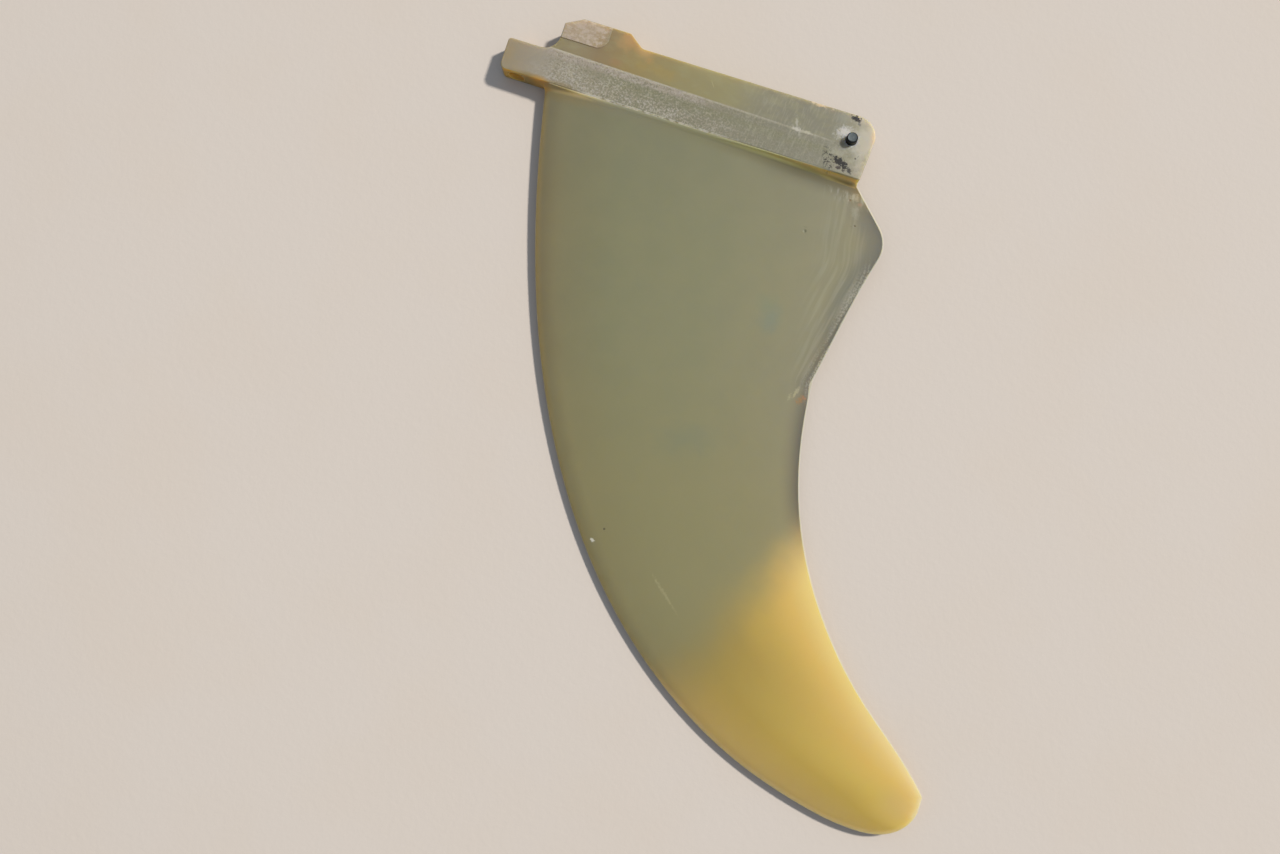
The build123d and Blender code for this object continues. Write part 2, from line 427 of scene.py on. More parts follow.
@dataclass(frozen=True)
class GlassLaminate:
    """Glass cloth and epoxy, pressed in a mould and polished: waxy, and clear enough to glow at its edges.

    Where the base bears on its slot the polish is rubbed to a pale frost, and at the heel the ground plies
    show as streaks. Much of the colour is painted light and shade: amber light shining through from below,
    glows in thin edges and on faces turned from the light, shade on rims, under the base and along the rear
    edge, and a highlight along the hollow's foot. Places, widths and the sizes of patterns are in the part's
    own millimetres.
    """

    # To the eye: olive wax with a broad soft sheen, amber towards the tip that is painted light shining
    # through from below, and light in every thin edge, partly painted as glow.
    blade_name: str = "glass_epoxy_laminate_polished"
    # To the eye: the same laminate with its gloss rubbed off, scattering light as ground glass does.
    base_name: str = "glass_epoxy_laminate_rubbed"
    ior: float = 1.54
    polished_roughness: float = 0.36
    frosted_roughness: float = 0.62
    glow_share: float = 0.8
    glow_depth: float = 7.0 * MM
    glow_by_channel: tuple[float, float, float] = (1.0, 0.75, 0.35)
    relief: float = 1.0
    ground: str = "#8B8A6C"

    # Where the fin's own faces lie.
    side_z: float = 4.65
    hull_y: float = -15.6
    root_y: float = -18.6
    ends_x: tuple[float, float] = (-155.0, 12.0)
    screw_hole: tuple[float, float] = (-146.6, 0.0)
    screw_seat: float = 3.7
    hollow_foot: tuple[float, float] = (-140.1, 0.0)
    hollow_slope: float = -0.0195
    # How softly the finishes meet at the hull's line, and how far down the foot's painted shading and the
    # step's painted glow fade.
    hull_soft: float = 0.15
    foot_reach: float = 4.4
    step_reach: float = 2.0
    bearing_layer: tuple[float, float] = (-0.10, -0.02)

    # Colours across the blade, at shares of its chord.
    olive: Stops = (
        (0.0, "#8C8160"), (0.04, "#8A8261"), (0.10, "#878464"), (0.25, "#88896A"), (0.55, "#8A8B6C"),
        (0.80, "#8E8C6E"), (1.0, "#8D8C74"),
    )
    # The amber colours are painted light, shining through the thin blade from below.
    amber_through_light: Stops = (
        (0.0, "#9A8248"), (0.10, "#98854B"), (0.30, "#9E8C4C"), (0.50, "#AC964B"), (0.70, "#C4AA56"),
        (0.85, "#DABA66"), (1.0, "#E5CA86"),
    )
    tip_amber_through_light: Stops = (
        (0.0, "#BBA264"), (0.10, "#BAA25E"), (0.30, "#BCA34E"), (0.50, "#CFB65C"), (0.70, "#DEBD67"),
        (0.85, "#E4C785"), (1.0, "#EAD3AE"),
    )
    # Colours along the base, at shares of its length: the blade's foot, painted lighter near the nose and
    # darker with shade aft, then the sides, the bearing faces, and the step, lightened as a painted glow.
    foot_shading: Stops = (
        (0.05, "#8F8258"), (0.18, "#90835C"), (0.33, "#89886F"), (0.57, "#878667"), (0.72, "#7E7A59"),
        (0.84, "#6C6640"), (0.93, "#736C46"), (1.0, "#7C7254"),
    )
    clear: Stops = (
        (0.0, "#9A8D6C"), (0.12, "#918766"), (0.18, "#978D70"), (0.24, "#948464"), (0.32, "#9C8C5F"),
        (0.45, "#9A926A"), (0.60, "#99946F"), (0.75, "#918F74"), (0.90, "#8F8D79"), (1.0, "#B0A994"),
    )
    frosted: Stops = (
        (0.0, "#988E74"), (0.05, "#99917E"), (0.10, "#9D9788"), (0.17, "#9A9585"), (0.24, "#928E7A"),
        (0.40, "#868570"), (0.60, "#868470"), (0.75, "#858472"), (0.88, "#898877"), (1.0, "#AAA592"),
    )
    # Painted glow: the step is lightened where it faces away from the light.
    step: Stops = (
        (0.10, "#E4CC88"), (0.18, "#E0CA8C"), (0.33, "#9B9A80"), (0.57, "#979672"), (0.72, "#AEAC74"),
        (0.84, "#AEA662"), (0.90, "#CCBA6C"), (0.96, "#D4C27E"), (1.0, "#DACA90"),
    )

    # The blade: broad shades first, then its edges, then the ground plies that show at the heel.
    cool_top: Wash = Wash("#80816D", 0.35, Zone(up=((-75.0, -20.0),)))
    mottle: Wash = Wash("#A29B74", 0.12)
    # Painted glow along the thin front edge, which turns away from the light.
    front_edge_glow: Wash = Wash("#AC985E", 0.6, Zone(up=((-250.0, -235.0),), edge=((3.2, 0.3),)))
    # Painted shadow under the rear of the base, where its step casts shade on the blade.
    deep_foot_shadow: Wash = Wash("#65624E", 0.45, Zone(along=((-42.0, -14.0),), up=((-27.0, -20.5),)))
    yellow_low: Wash = Wash("#948E63", 0.6, Zone(up=((-90.0, -190.0),)))
    # Painted pale glow along the front edge near the tip.
    pale_front_edge_glow: Wash = Wash("#D8BC86", 0.7, Zone(up=((-235.0, -250.0),), edge=((2.2, 0.3),)))
    # Painted shade along the thin rear edge, wider at the heel.
    rear_edge_shade: Wash = Wash("#33454E", 0.95, Zone(up=((-184.0, -150.0), (-20.5, -30.0))))
    rear_edge_shade_width: float = 9.5
    heel_edge_shade: Wash = Wash("#5F6D6F", 0.52, Zone(up=((-104.0, -62.0), (-20.0, -34.0)), edge=((13.0, 5.0),)))
    rear_line: Wash = Wash("#B9BAB0", 0.8, Zone(up=((-262.0, -245.0),), edge=((0.6, 0.25),)))
    low_plies: Wash = Wash("#B6B6A4", 0.20, Zone(up=((-117.0, -106.0), (-46.0, -60.0))))
    high_plies: Wash = Wash("#B2B2A0", 0.17, Zone(along=((-4.0, 5.0),), up=((-66.0, -50.0), (-21.0, -26.0)),
                                                  edge=((4.0, 9.0),)))
    frayed_rim: Wash = Wash("#B4B9B4", 0.42, Zone(up=((-117.0, -100.0), (-42.0, -54.0)), edge=((5.5, 1.5),)))
    foot_dashes: Wash = Wash("#B6BAB0", 0.36, Zone(along=((-6.0, 0.0),), up=((-28.0, -23.0), (-20.0, -21.6))))

    # The amber, painted light shining through from below, starts along a slanting line, whose distance is a
    # mix of X and Y, and softer at the front edge.
    amber_slant: tuple[float, float] = (0.889, -0.459)
    amber_wander: float = 6.0
    amber_front: tuple[float, float] = (88.0, 130.0)
    amber_rear: tuple[float, float] = (96.0, 121.0)
    amber_paler_y: tuple[float, float] = (-215.0, -262.0)

    # Plies are 0.2 mm thick, and show as wider bands where the foil cuts them at a low angle. They run along
    # the rear edge below the heel's corner, and nearly straight along Y above it.
    ply_streak: tuple[float, float] = (1.7, 26.0)
    ply_noise: tuple[float, float] = (0.42, 0.68)
    ply_noise_rim: tuple[float, float] = (0.34, 0.60)
    ply_line: tuple[float, float] = (-0.13, 17.2)
    ply_turn_y: tuple[float, float] = (-64.0, -42.0)
    ply_spread: tuple[float, float, float, float] = (-116.0, -60.0, 12.0, 7.0)
    ply_fade: tuple[float, float] = (1.25, 0.6)
    ply_detail: float = 1.5
    ply_rough: float = 0.5

    # The base: painted glow on the step under it, painted shade on its rims, and painted glow on the nose's
    # underside and in the seat of the screw hole.
    # Painted glow on the step, aft and along its top.
    rear_step_glow: Wash = Wash("#B09A40", 0.35, Zone(along=((-12.0, 2.0),), up=((-20.4, -18.8),)))
    step_top_glow: Wash = Wash("#F4E08E", 0.45, Zone(along=((-40.0, -16.0),), up=((-17.4, -16.0),)))
    # Painted shade on faces that turn sideways, such as the rounded rims.
    rim_shade: Wash = Wash("#736C54", 0.75, Zone(up=((-15.3, -14.1),)))
    # Painted glow on the nose's underside, and in the seat of the screw hole.
    nose_underside_glow: Wash = Wash("#C39930", 0.95, Zone(along=((-128.0, -134.0),), up=((-15.0, -15.4),)))
    seat_glow: Wash = Wash("#FFCF78", 1.0)
    facing_tip: tuple[float, float] = (0.10, 0.60)
    facing_sideways: tuple[float, float] = (0.04, 0.30)
    seat_edge: tuple[float, float] = (1.03, 0.99)

    # The frost on the bearing faces, from the hollow's foot down to the step.
    below_foot_line: Wash = Wash("#A79D92", 0.55, Zone(along=((-50.0, -78.0), (-141.0, -132.0)),
                                                       edge=((4.6, 2.2),)))
    foot_line_clumps: Wash = Wash("#B5ACA4", 0.45, below_foot_line.zone)
    rim_clumps: Wash = Wash("#AFA89D", 0.65, Zone(along=((-146.0, -134.0),), up=((-5.1, -11.6),)))
    rim_flecks: Wash = Wash("#BFB9AF", 0.5, rim_clumps.zone)
    olive_middle: Wash = Wash("#828367", 0.6, Zone(along=((-118.0, -100.0),), up=((-11.6, -6.6),),
                                                   edge=((2.8, 4.6),)))
    cloudy_flecks: Wash = Wash("#B9B5A8", 0.42, Zone(along=((-20.0, -80.0),)))
    even_flecks: Wash = Wash("#B9B5A8", 0.12)
    dark_pits: Wash = Wash("#6E6E54", 1.0)
    aft_rubbing: Wash = Wash("#AFAE9C", 0.26, Zone(along=((-62.0, -40.0), (2.0, -8.0))))
    hollow_clouds: Wash = Wash("#A3A07C", 0.30, Zone(up=((-15.6, -15.3),), edge=((0.1, -0.3),)))
    # Partly a painted highlight on the step's edge, partly rubbed wear.
    foot_line_highlight_and_wear: Wash = Wash("#BDB7A6", 0.4, Zone(along=((-137.0, -130.0), (-6.0, -12.0)),
                                                edge=((-0.15, 0.1), (1.2, 0.4))))
    chipped_rim: Wash = Wash("#D2CFBF", 0.85, Zone(along=((-124.0, -112.0), (-40.0, -64.0)),
                                                   up=((-14.7, -15.2), (-16.0, -15.6))))
    frost_edge: tuple[float, float] = (-0.1, 0.4)
    pits_fore: float = 0.3
    pits_least: float = 0.25
    fore_x: tuple[float, float] = (-36.0, -90.0)
    smooth_nose_x: tuple[float, float] = (-141.0, -128.0)
    fleck_height: float = 0.02

    # The pad on the hump: dull first, then rubbed pale up to a ragged end.
    pad: Wash = Wash("#A28E6A", 1.0, Zone(along=((-111.0, -115.5),), up=((5.2, 5.7),)))
    pad_rubbed: Wash = Wash("#AFA18F", 0.75)
    pad_clumps: Wash = Wash("#C6BBAE", 0.6)
    pad_flecks: Wash = Wash("#B9AC98", 0.35)
    pad_pits: Wash = Wash("#95876C", 0.35)
    pad_ragged_x: tuple[float, float] = (-116.5, -123.5)
    pad_end_lean: float = -0.25
    pad_end_ragged: float = 5.0

    # Real flecks, pits and glass dust are 0.1 to 0.3 mm wide. They are drawn as coarse as they need to show.
    flecks: Grain = Grain((0.9, 0.9, 0.9), 0.46, 0.60)
    pits: Grain = Grain((0.9, 0.9, 0.9), 0.47, 0.36, shift=31.0)
    clumps: Grain = Grain((2.4, 1.8, 2.0), 0.42, 0.60, shift=9.0)
    clouds: Grain = Grain((11.0, 4.0, 8.0), 0.36, 0.62, shift=3.0)
    soft_clouds: Grain = Grain((9.0, 5.0, 6.0), 0.42, 0.66, shift=7.0)
    cross_strokes: Grain = Grain((0.9, 5.0, 3.0), 0.46, 0.66, turn=-6.0, shift=13.0)
    line_breaks: Grain = Grain((5.0, 5.0, 5.0), 0.30, 0.55, shift=17.0)
    rim_chips: Grain = Grain((2.2, 2.0, 2.0), 0.34, 0.56, shift=11.0)
    rim_dust: Grain = Grain((0.8, 0.8, 0.8), 0.40, 0.60, shift=19.0)
    dashes: Grain = Grain((1.3, 6.0, 4.0), 0.44, 0.62, turn=13.0)
    patches: Grain = Grain((14.0, 14.0, 14.0), 0.30, 0.70, detail=4.0, shift=21.0)
    wide_patches: Grain = Grain((30.0, 30.0, 30.0), 0.20, 0.80)
    dots: Grain = Grain((0.75, 0.75, 0.75), 0.525, 0.575, shift=5.0)
    dot_column: Mark = Mark((-7.3, -10.9), (3.1, 7.2), "#34332C", 1.0, turn=22.0, soft=0.5)
    dot_strength: float = 0.92

    blade_marks: tuple[Mark, ...] = (
        Mark((-9.9, -84.6), (7.0, 8.5), "#6E8680", 0.36, turn=10.0, soft=0.95, frayed=0.8, fray_mm=5.0),
        Mark((-13.0, -78.0), (8.0, 6.0), "#748A70", 0.20, soft=0.95, frayed=0.8, fray_mm=5.0),
        Mark((-28.0, -144.0), (21.0, 10.0), "#6E8074", 0.22, turn=20.0, soft=0.95, frayed=0.8, fray_mm=5.0),
        Mark((-17.2, -208.5), (11.0, 0.8), "#B5AE8A", 0.42, turn=-41.0, frayed=2.0),
        Mark((-21.0, -205.8), (6.0, 0.5), "#B5AE8A", 0.30, turn=-44.0, frayed=2.0),
        Mark((12.5, -113.5), (3.2, 1.9), "#A4783C", 0.55, turn=55.0, frayed=2.0),
        Mark((13.6, -112.0), (1.2, 0.9), "#A0705A", 0.5, frayed=2.0),
        Mark((9.8, -110.8), (1.1, 3.6), "#B9B493", 0.55, turn=-18.0, frayed=2.4),
        Mark((7.6, -113.6), (0.8, 2.6), "#B9B493", 0.45, turn=-10.0, frayed=2.4),
        Mark((7.4, -24.1), (1.0, 0.8), "#7C6844", 0.8, soft=0.8, height_mm=-0.1),
        Mark((9.0, -22.4), (3.2, 2.6), "#B2B0A0", 0.5, frayed=1.6),
        Mark((12.1, -24.7), (1.6, 1.3), "#A68A78", 0.55),
        Mark((-7.1, -43.3), (1.1, 1.1), "#5E6043", 0.8, height_mm=-0.12),
        Mark((-7.4, -41.6), (1.3, 0.5), "#7B7A5C", 0.5),
        Mark((12.7, -34.4), (0.7, 0.5), "#4E4D3C", 0.85, soft=0.7, height_mm=-0.1),
        Mark((11.2, -34.9), (0.9, 0.3), "#77755D", 0.6),
        Mark((-49.6, -190.4), (0.65, 0.65), "#55503A", 0.85, soft=0.6, height_mm=-0.12),
        Mark((-52.9, -196.3), (1.2, 0.8), "#D9D6C8", 1.0, turn=-30.0, soft=0.5, frayed=1.6),
        Mark((11.2, -28.2), (2.4, 4.6), "#A0A59C", 0.5, turn=17.0, frayed=1.2),
        # A painted glow of light shining through the thin tip, on both sides.
        Mark((101.0, -261.0), (15.0, 13.0), "#CBB27C", 0.45, soft=0.95, both_sides=True),
    )
    base_marks: tuple[Mark, ...] = (
        # The first five marks are the hump's amber, painted light shining through from below.
        Mark((-104.0, 13.0), (7.5, 7.0), "#BC9A68", 0.75, turn=-12.0, frayed=1.2, fray_mm=5.0,
             both_sides=True),
        Mark((-96.0, 10.5), (6.5, 4.5), "#C4A570", 0.65, both_sides=True),
        Mark((-93.0, 7.0), (3.0, 2.0), "#C09A60", 0.45, frayed=1.2, both_sides=True),
        Mark((-107.0, 2.0), (4.5, 2.6), "#A8835F", 0.4),
        Mark((-88.0, 4.0), (14.0, 4.0), "#A8955A", 0.5, turn=-4.0, frayed=1.6, fray_mm=5.0),
        Mark((-151.8, -8.0), (3.4, 7.5), "#A2906E", 0.5, both_sides=True),
        # The next two marks are painted glow: along the nose's lower rim, and in the shaded corner where the
        # front edge meets the base.
        Mark((-139.5, -15.4), (13.0, 2.4), "#8C7A46", 0.8, soft=0.8, both_sides=True),
        Mark((-135.8, -17.2), (6.6, 4.2), "#CF9A3A", 0.9, both_sides=True),
        Mark((-126.0, -15.6), (10.0, 2.8), "#85754A", 0.7, turn=-2.0, soft=0.8),
        Mark((-23.9, -2.5), (3.4, 1.3), "#D2D0C6", 0.55, turn=-6.0, frayed=2.2),
        Mark((-24.3, -0.4), (0.8, 4.4), "#CBC9BE", 0.42, turn=17.0, frayed=2.2),
        Mark((-22.4, -3.0), (0.8, 4.2), "#C4C2B6", 0.38, turn=17.0, frayed=2.2),
        Mark((-18.8, -2.6), (4.6, 0.9), "#CFCCBA", 0.55, turn=-2.0, soft=0.8, frayed=1.6),
        Mark((-64.0, 5.5), (2.6, 0.3), "#B9B08C", 0.55, turn=-55.0, soft=0.8),
        Mark((-17.5, 10.9), (7.0, 1.3), "#C8B8A0", 0.8, turn=-2.0, frayed=2.4),
        Mark((5.6, 0.5), (8.5, 17.0), "#C2BFB0", 0.85, turn=2.0, soft=0.8, frayed=1.4, fray_mm=5.0),
        Mark((1.0, 10.0), (7.0, 4.0), "#B7B5A9", 0.6, turn=-20.0, frayed=1.6),
        Mark((-6.0, 9.0), (5.0, 5.0), "#989B90", 0.5),
        Mark((9.2, 4.5), (2.6, 8.0), "#D6BEA2", 0.6, turn=4.0, both_sides=True),
        Mark((-3.6, 2.4), (5.6, 4.0), "#DEDEDB", 0.66, turn=40.0, frayed=1.6),
        Mark((0.2, 0.3), (4.3, 4.3), "#DAD8D0", 0.5, soft=0.6, frayed=1.0),
        Mark((-4.0, -7.0), (6.0, 3.0), "#B2B1A2", 0.5, frayed=1.8),
    )
    smears: tuple[Mark, ...] = (
        Mark((-1.0, 9.8), (2.3, 1.4), "#1E1E20", 1.0, turn=-14.0, soft=0.5, frayed=2.6),
        Mark((0.5, 9.2), (1.3, 0.8), "#2A2A2C", 0.9, turn=-40.0, soft=0.5, frayed=1.8),
        Mark((1.5, 7.6), (1.1, 0.9), "#6A6A64", 0.8, turn=-30.0, soft=0.7, frayed=1.6),
        Mark((-2.6, -10.4), (3.0, 1.8), "#1B1B1A", 1.0, turn=-14.0, soft=0.4, frayed=2.2),
        Mark((0.0, -11.6), (1.6, 2.7), "#1E1E1E", 1.0, turn=28.0, soft=0.4, frayed=2.2),
        Mark((-1.8, -13.3), (1.7, 1.1), "#382E2A", 0.9, soft=0.5, frayed=2.0),
        Mark((0.6, -13.9), (1.0, 0.8), "#3E3832", 0.85, soft=0.6, frayed=2.0),
        Mark((3.0, -13.2), (1.1, 1.8), "#30302E", 0.9, turn=20.0, soft=0.6, frayed=2.2),
        Mark((4.0, -7.4), (0.55, 0.6), "#3C3C36", 0.85, soft=0.7),
        Mark((4.9, -6.2), (0.4, 1.1), "#86857A", 0.6, turn=-25.0, soft=0.8),
    )

    def blade_material(self) -> bpy.types.Material:
        """Builds the polished finish of the blade.

        Returns:
            The material, with its colour and relief in the part's own millimetres.
        """
        material, paint = start_material(self.blade_name, self.ground, self.polished_roughness)
        self.colour_ground(paint)
        self.colour_tip(paint)
        self.colour_rear_edge(paint)
        self.streak_heel(paint)
        paint.stamp(self.blade_marks)
        self.finish_material(paint)
        return material

    def base_material(self) -> bpy.types.Material:
        """Builds the finish of the base and nose, rubbed to a frost where they bear on the slot.

        Returns:
            The material, with its colour, roughness and relief in the part's own millimetres.
        """
        material, paint = start_material(self.base_name, self.ground, self.polished_roughness)
        self.colour_ground(paint)
        self.colour_base(paint)
        self.frost_bearing_faces(paint)
        self.rub_pad(paint)
        self.chip_edges(paint)
        paint.stamp(self.base_marks)
        self.smear_black(paint)
        self.finish_material(paint)
        return material

    def finish_material(self, paint: Paint) -> None:
        """Feeds the paint into a waxy, part clear surface."""
        sockets = {Socket.IOR: self.ior, Socket.GLOW_SHARE: self.glow_share,
                   Socket.GLOW_DEPTH: self.glow_depth, Socket.GLOW_BY_CHANNEL: self.glow_by_channel}
        paint.finish(self.relief, sockets, {"subsurface_method": "RANDOM_WALK"})

    def chord_share(self, paint: Paint) -> NodeSocket:
        """How far a place lies from the blade's front edge to its rear edge.

        Args:
            paint: the material's paint.

        Returns:
            The socket of a share from 0 to 1.
        """
        front = paint.measure(Measure.FRONT)
        chord = paint.line(front, 1.0, paint.measure(Measure.REAR))
        share = add_node(paint.tree, "ShaderNodeMath", {"operation": "DIVIDE"}, {0: front, 1: chord})
        return share.outputs[0]

    def colour_ground(self, paint: Paint) -> None:
        """Grey olive, browner at the front edge and paler at the rear, a painted glow along the front edge,
        and a foot under the base painted lighter near the nose and darker with shade aft.

        Args:
            paint: the material's paint.
        """
        paint.tint(paint.blend(self.chord_share(paint), self.olive), 1.0)
        paint.wash(self.cool_top)
        paint.wash(self.mottle, paint.grain(self.patches))
        paint.wash(self.front_edge_glow, edge=paint.measure(Measure.FRONT))
        foot_shading = paint.blend(paint.share(paint.along, *self.ends_x), self.foot_shading)
        paint.tint(foot_shading, 1.0, paint.ramp(paint.up, self.root_y - self.foot_reach, self.root_y))
        paint.wash(self.deep_foot_shadow)

    def colour_tip(self, paint: Paint) -> None:
        """Yellower olive down the blade, then amber painted as light shining through from below, which starts
        along a slanting line, and a pale painted glow along the front edge near the tip.

        Args:
            paint: the material's paint.
        """
        chord = self.chord_share(paint)
        amber_through_light = paint.blend(chord, self.amber_through_light)
        tip_amber_through_light = paint.blend(chord, self.tip_amber_through_light)
        paint.wash(self.yellow_low)
        slant_x, slant_y = self.amber_slant
        across = paint.line(paint.along, slant_x, paint.both(paint.up, slant_y))
        across = paint.line(paint.grain(self.wide_patches), self.amber_wander, across)
        zone = add_node(paint.tree, "ShaderNodeMix", None,
                        {"Factor": chord, "A": paint.ramp(across, *self.amber_front),
                         "B": paint.ramp(across, *self.amber_rear)}).outputs["Result"]
        shade = add_node(paint.tree, "ShaderNodeMix", {"data_type": "RGBA"},
                         {"Factor": paint.ramp(paint.up, *self.amber_paler_y), "A": amber_through_light, "B": tip_amber_through_light})
        paint.tint(shade.outputs["Result"], 1.0, zone)
        paint.wash(self.pale_front_edge_glow, edge=paint.measure(Measure.FRONT))

    def colour_rear_edge(self, paint: Paint) -> None:
        """Painted shade in a cold grey band along the thin rear edge, widest at the heel's corner, and a pale
        line at the rim.

        Args:
            paint: the material's paint.
        """
        rear = paint.measure(Measure.REAR)
        near = paint.share(rear, self.rear_edge_shade_width, 0.0)
        paint.wash(self.rear_edge_shade, near, near)
        paint.wash(self.heel_edge_shade, edge=rear)
        paint.wash(self.rear_line, edge=rear)

    def streak_heel(self, paint: Paint) -> None:
        """Ground plies at the heel: soft streaks down the blade, and a pale frayed rim below the corner.

        Args:
            paint: the material's paint.
        """
        rear = paint.measure(Measure.REAR)
        straight = paint.line(paint.along, -1.0, paint.line(paint.up, *self.ply_line))
        across = add_node(paint.tree, "ShaderNodeMix", None,
                          {"Factor": paint.ramp(paint.up, *self.ply_turn_y), "A": rear, "B": straight})
        width, length = self.ply_streak
        spread = add_node(paint.tree, "ShaderNodeCombineXYZ", None,
                          {0: paint.both(across.outputs["Result"], 1 / width),
                           1: paint.both(paint.up, 1 / length)})
        noise = add_node(paint.tree, "ShaderNodeTexNoise", None,
                         {"Vector": spread.outputs[0], "Scale": 1.0, "Detail": self.ply_detail,
                          "Roughness": self.ply_rough})
        streaks = paint.ramp(noise.outputs["Fac"], *self.ply_noise)
        low_y, high_y, wider_by, least = self.ply_spread
        reach = paint.line(paint.ramp(paint.up, low_y, high_y), wider_by, least)
        inwards = add_node(paint.tree, "ShaderNodeMath", {"operation": "DIVIDE"}, {0: rear, 1: reach})
        paint.wash(self.low_plies, paint.ramp(inwards.outputs[0], *self.ply_fade), streaks)
        paint.wash(self.high_plies, streaks, edge=rear)
        paint.wash(self.frayed_rim, paint.grain(self.rim_dust),
                   paint.ramp(noise.outputs["Fac"], *self.ply_noise_rim), edge=rear)
        paint.wash(self.foot_dashes, paint.grain(self.dashes))

    def colour_base(self, paint: Paint) -> None:
        """Clear olive sides, frosted grey where they bear on the slot, over a step with a painted yellow glow,
        with painted shade on sideways faces and painted glow under the nose and in the screw seat.

        Args:
            paint: the material's paint.
        """
        length_share = paint.share(paint.along, *self.ends_x)
        above = paint.ramp(paint.up, self.hull_y - self.hull_soft, self.hull_y + self.hull_soft)
        below = paint.ramp(paint.up, self.hull_y + self.hull_soft, self.hull_y - self.hull_soft)
        facing_tip = paint.ramp(paint.measure(Measure.STEP), *self.facing_tip)
        # Painted glow on the step, where it faces the tip.
        paint.tint(paint.blend(length_share, self.step), 1.0, below, facing_tip,
                   paint.ramp(paint.up, self.root_y - self.step_reach, self.root_y))
        paint.wash(self.rear_step_glow, below)
        paint.wash(self.step_top_glow, below, facing_tip)
        paint.tint(paint.blend(length_share, self.clear), 1.0, above)
        paint.tint(paint.blend(length_share, self.frosted), 1.0, self.bearing(paint))
        paint.wash(self.rim_shade, paint.ramp(paint.measure(Measure.SIDE), *self.facing_sideways))
        paint.wash(self.nose_underside_glow, facing_tip)
        bore = add_node(paint.tree, "ShaderNodeMapping", {"vector_type": "TEXTURE"},
                        {"Vector": paint.place, "Location": (*self.screw_hole, 0.0),
                         "Scale": (self.screw_seat, ENDLESS, self.screw_seat)})
        from_axis = add_node(paint.tree, "ShaderNodeVectorMath", {"operation": "LENGTH"},
                             {0: bore.outputs[0]})
        paint.wash(self.seat_glow, paint.ramp(from_axis.outputs["Value"], *self.seat_edge))
        paint.dull(self.bearing(paint), self.frosted_roughness)

    def bearing(self, paint: Paint) -> NodeSocket:
        """The mask of the faces that bear on the slot: they stand proud of the hollows between them.

        Args:
            paint: the material's paint.

        Returns:
            The mask's socket.
        """
        proud = paint.ramp(paint.off_middle, *(self.side_z + depth for depth in self.bearing_layer))
        above = paint.ramp(paint.up, self.hull_y - self.hull_soft, self.hull_y + self.hull_soft)
        return paint.both(proud, above)

    def below_line(self, paint: Paint) -> NodeSocket:
        """How far a place lies under the line along the hollow's foot.

        Args:
            paint: the material's paint.

        Returns:
            The distance's socket.
        """
        start_x, start_y = self.hollow_foot
        line = paint.line(paint.along, self.hollow_slope, start_y - start_x * self.hollow_slope)
        return paint.line(paint.up, -1.0, line)

    def frost_bearing_faces(self, paint: Paint) -> None:
        """Pinkish white under the hollow's foot, olive below it, and white flecks by the rim.

        Args:
            paint: the material's paint.
        """
        below = self.below_line(paint)
        smooth_nose = paint.ramp(paint.along, *self.smooth_nose_x)
        flecks = paint.both(paint.grain(self.flecks), smooth_nose)
        clumps = paint.grain(self.clumps)
        clouds = paint.grain(self.clouds)
        band = paint.both(self.bearing(paint), paint.ramp(below, *self.frost_edge))
        fore = paint.ramp(paint.along, *self.fore_x)
        paint.wash(self.below_foot_line, band, edge=below)
        paint.wash(self.foot_line_clumps, band, clumps, edge=below)
        paint.wash(self.rim_clumps, band, fore, clumps, clouds)
        paint.wash(self.rim_flecks, band, fore, flecks)
        paint.wash(self.olive_middle, band, edge=below)
        paint.wash(self.cloudy_flecks, band, flecks, clouds)
        paint.wash(self.even_flecks, band, flecks)
        paint.wash(self.dark_pits, band, paint.grain(self.pits), smooth_nose,
                   paint.line(fore, self.pits_fore, self.pits_least))
        paint.lift(paint.both(band, flecks), self.fleck_height)
        paint.wash(self.aft_rubbing, self.bearing(paint), paint.grain(self.cross_strokes))
        paint.wash(self.hollow_clouds, paint.grain(self.soft_clouds), edge=below)

    def rub_pad(self, paint: Paint) -> None:
        """A dull pad on the hump, rubbed pale up to a ragged end.

        Args:
            paint: the material's paint.
        """
        clumps = paint.grain(self.clumps)
        pad = paint.both(self.bearing(paint), *paint.within(self.pad.zone))
        paint.tint(self.pad.hex_colour, self.pad.strength, pad)
        end = paint.line(paint.up, self.pad_end_lean, paint.along)
        ragged_end = paint.line(clumps, -self.pad_end_ragged, end)
        rubbed = paint.both(pad, paint.ramp(ragged_end, *self.pad_ragged_x))
        paint.wash(self.pad_rubbed, rubbed)
        paint.wash(self.pad_clumps, rubbed, clumps)
        paint.wash(self.pad_flecks, pad, paint.grain(self.flecks),
                   paint.ramp(paint.along, *self.smooth_nose_x))
        paint.wash(self.pad_pits, pad, paint.grain(self.pits))

    def chip_edges(self, paint: Paint) -> None:
        """A broken pale line along the hollow's foot, partly a painted highlight on the step's edge and partly
        wear, and white chips along the rim over the step.

        Args:
            paint: the material's paint.
        """
        paint.wash(self.foot_line_highlight_and_wear, self.bearing(paint), paint.grain(self.line_breaks),
                   edge=self.below_line(paint))
        paint.wash(self.chipped_rim, paint.grain(self.rim_chips))

    def smear_black(self, paint: Paint) -> None:
        """Black smears beside the pin, with a scatter of fine dots next to the larger one.

        Args:
            paint: the material's paint.
        """
        paint.stamp(self.smears)
        paint.tint(self.dot_column.hex_colour, self.dot_strength, paint.spot(self.dot_column),
                   paint.grain(self.dots))


